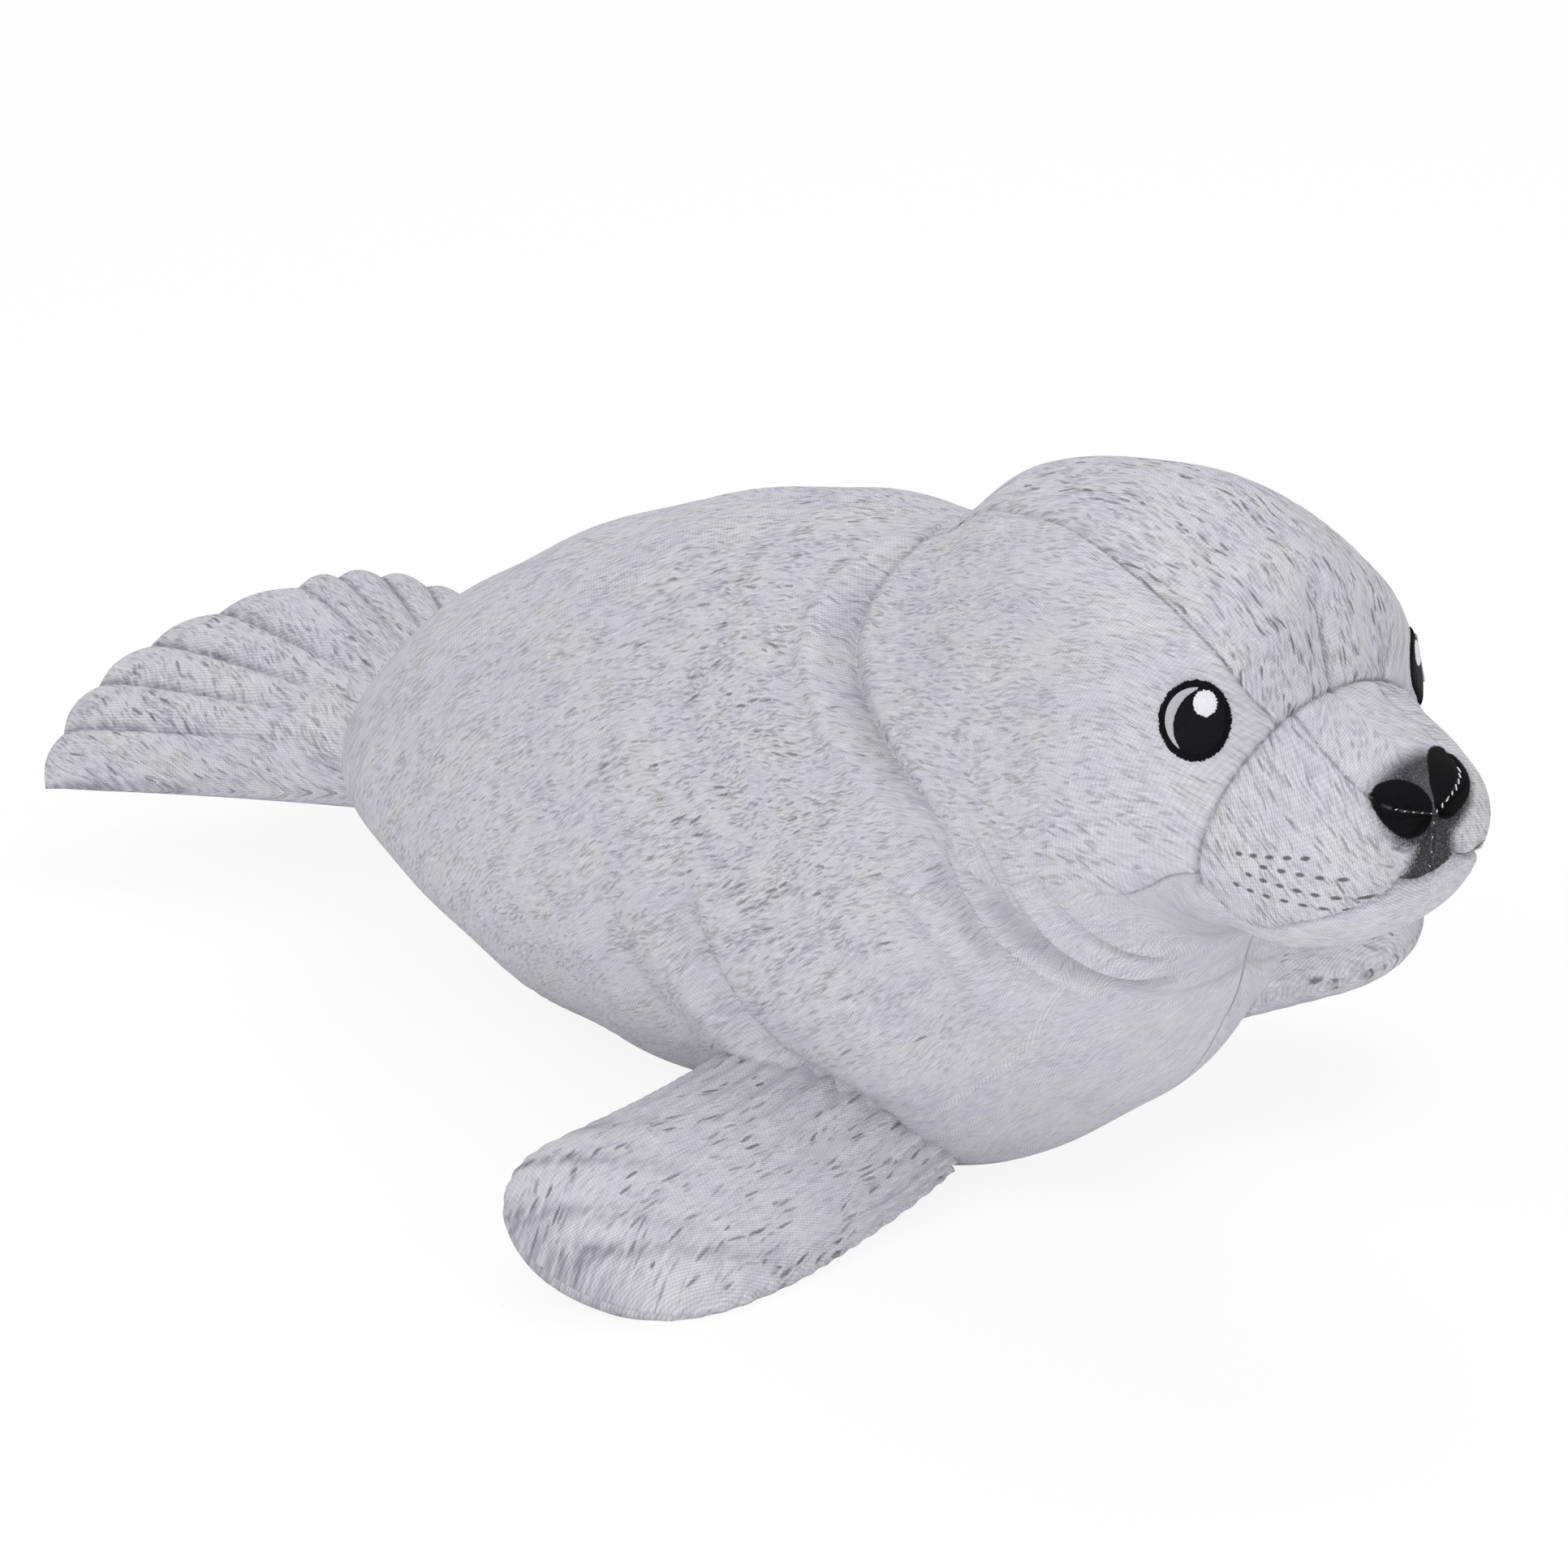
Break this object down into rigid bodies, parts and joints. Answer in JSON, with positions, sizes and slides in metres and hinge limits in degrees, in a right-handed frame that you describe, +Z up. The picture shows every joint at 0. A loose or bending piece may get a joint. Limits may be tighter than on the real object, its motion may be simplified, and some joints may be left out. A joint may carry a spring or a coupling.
{
  "type": "plush seal",
  "caption": "Stuffed plush seal lying on its belly, with splayed front flippers, a fluted hind fan and embroidered eyes.",
  "frame": {"origin": "on the floor, on the flattened belly below the thickest part of the body", "axes": "+X towards the nose, +Y towards the seal's left, +Z up"},
  "size_m": [0.5466, 0.3235, 0.2361],
  "materials": {
    "printed_knit": "matt fine knit, pale lavender grey with a printed fur of short streaks",
    "pale_printed_knit": "matt fine knit, the print paler and sparser",
    "dark_printed_knit": "matt fine knit, the print denser and darker",
    "polyester_filling": "loose white fibre",
    "black_thread": "satin stitches with a low sheen",
    "silver_thread": "satin stitches with a low sheen",
    "white_thread": "satin stitches with a low sheen",
    "dark_print": "soft-edged ink in the knit",
    "black_print": "solid ink in the knit"
  },
  "bodies": {
    "root": {"forehead_gusset": "printed_knit", "cheek_right": "printed_knit", "cheek_left": "printed_knit", "muzzle_bridge": "printed_knit", "muzzle_side_right": "printed_knit", "muzzle_side_left": "printed_knit", "body_side_right": "printed_knit", "body_side_left": "printed_knit", "belly_and_throat_panel": "pale_printed_knit", "body_filling": "polyester_filling", "front_flipper_right_upper": "dark_printed_knit", "front_flipper_right_lower": "dark_printed_knit", "front_flipper_right_filling": "polyester_filling", "front_flipper_left_upper": "dark_printed_knit", "front_flipper_left_lower": "dark_printed_knit", "front_flipper_left_filling": "polyester_filling", "hind_fan_upper": "dark_printed_knit", "hind_fan_lower": "dark_printed_knit", "hind_fan_filling": "polyester_filling", "eye_oval_right": "black_thread", "eye_oval_left": "black_thread", "eye_crescent_right": "silver_thread", "eye_crescent_left": "silver_thread", "eye_highlight_right": "white_thread", "eye_highlight_left": "white_thread", "nose_field_print": "dark_print", "nostril_print_right": "black_print", "nostril_print_left": "black_print"}
  },
  "joints": []
}
